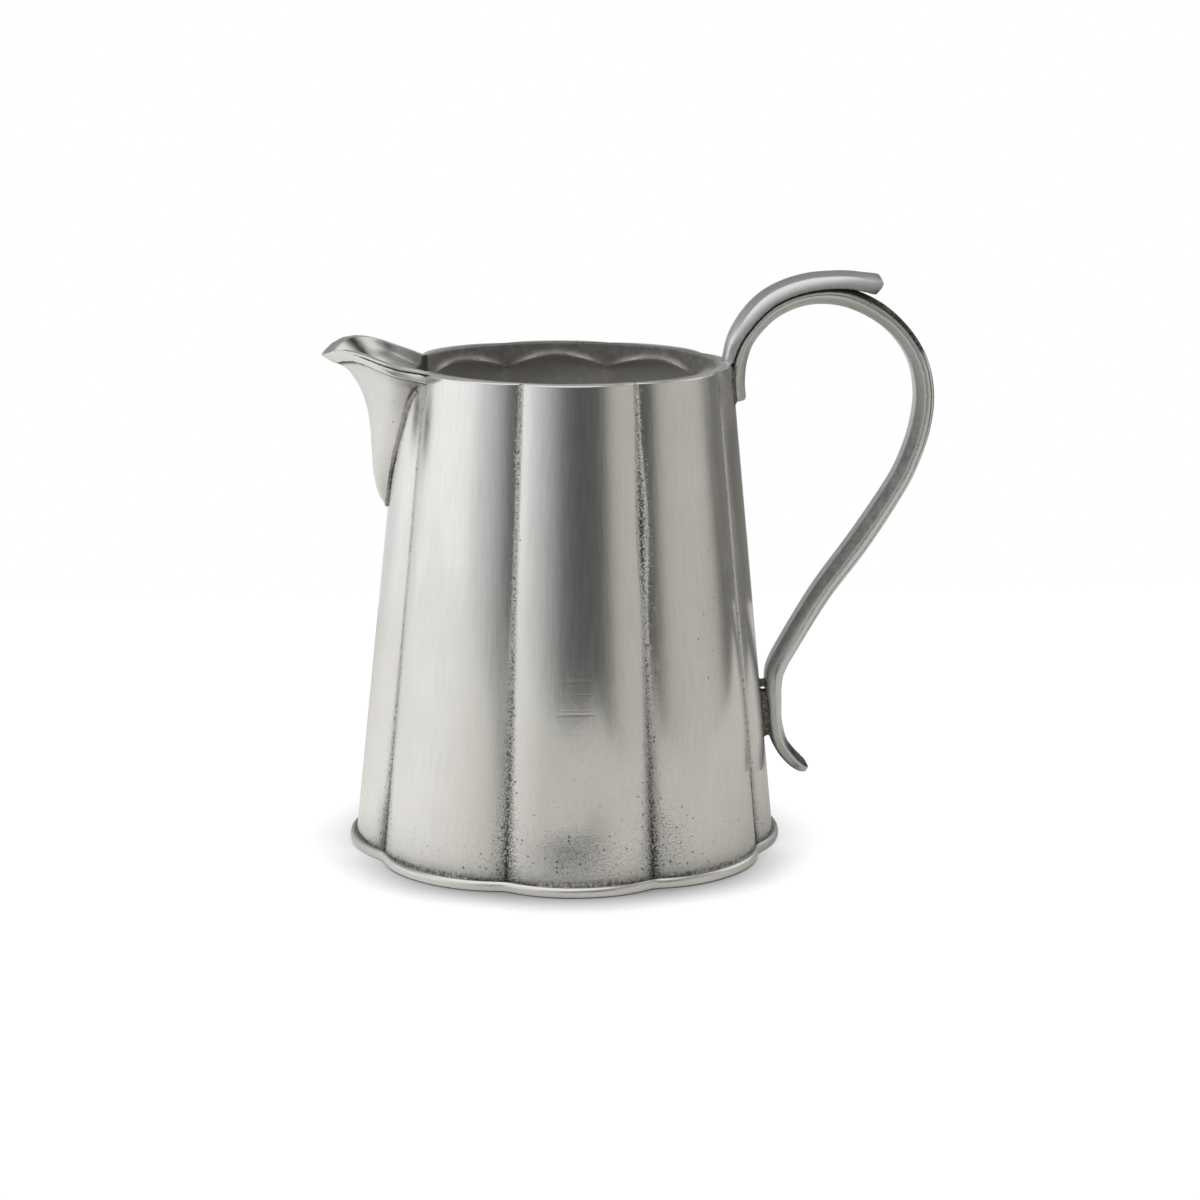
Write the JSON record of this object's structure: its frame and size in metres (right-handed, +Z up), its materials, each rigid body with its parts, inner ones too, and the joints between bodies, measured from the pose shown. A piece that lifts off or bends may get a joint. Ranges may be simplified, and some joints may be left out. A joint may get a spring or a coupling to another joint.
{
  "type": "milk jug",
  "caption": "Small lobed pewter milk jug with a pointed spout and a scroll handle topped by a leaf.",
  "frame": {"origin": "middle of the flat foot ring, on the surface the jug stands on", "axes": "+Z up towards the mouth, +X from the spout towards the handle, +Y completes a right-handed frame across the body"},
  "size_m": [0.1159, 0.0828, 0.1091],
  "materials": {
    "pewter": "satin, hand-brushed, worn; grey pewter with dark patina in the seams",
    "pewter_patina": "matte, darkened cast pewter, not brushed",
    "solder": "rough dark grey tin solder"
  },
  "bodies": {
    "root": {"body_wall": "pewter", "base_plate": "pewter_patina", "foot_rim": "pewter", "spout": "pewter", "spout_solder": "solder", "handle_strap": "pewter", "handle_leaf": "pewter", "handle_top_solder": "solder", "handle_lug": "pewter_patina", "handle_lug_solder": "solder"}
  },
  "joints": []
}
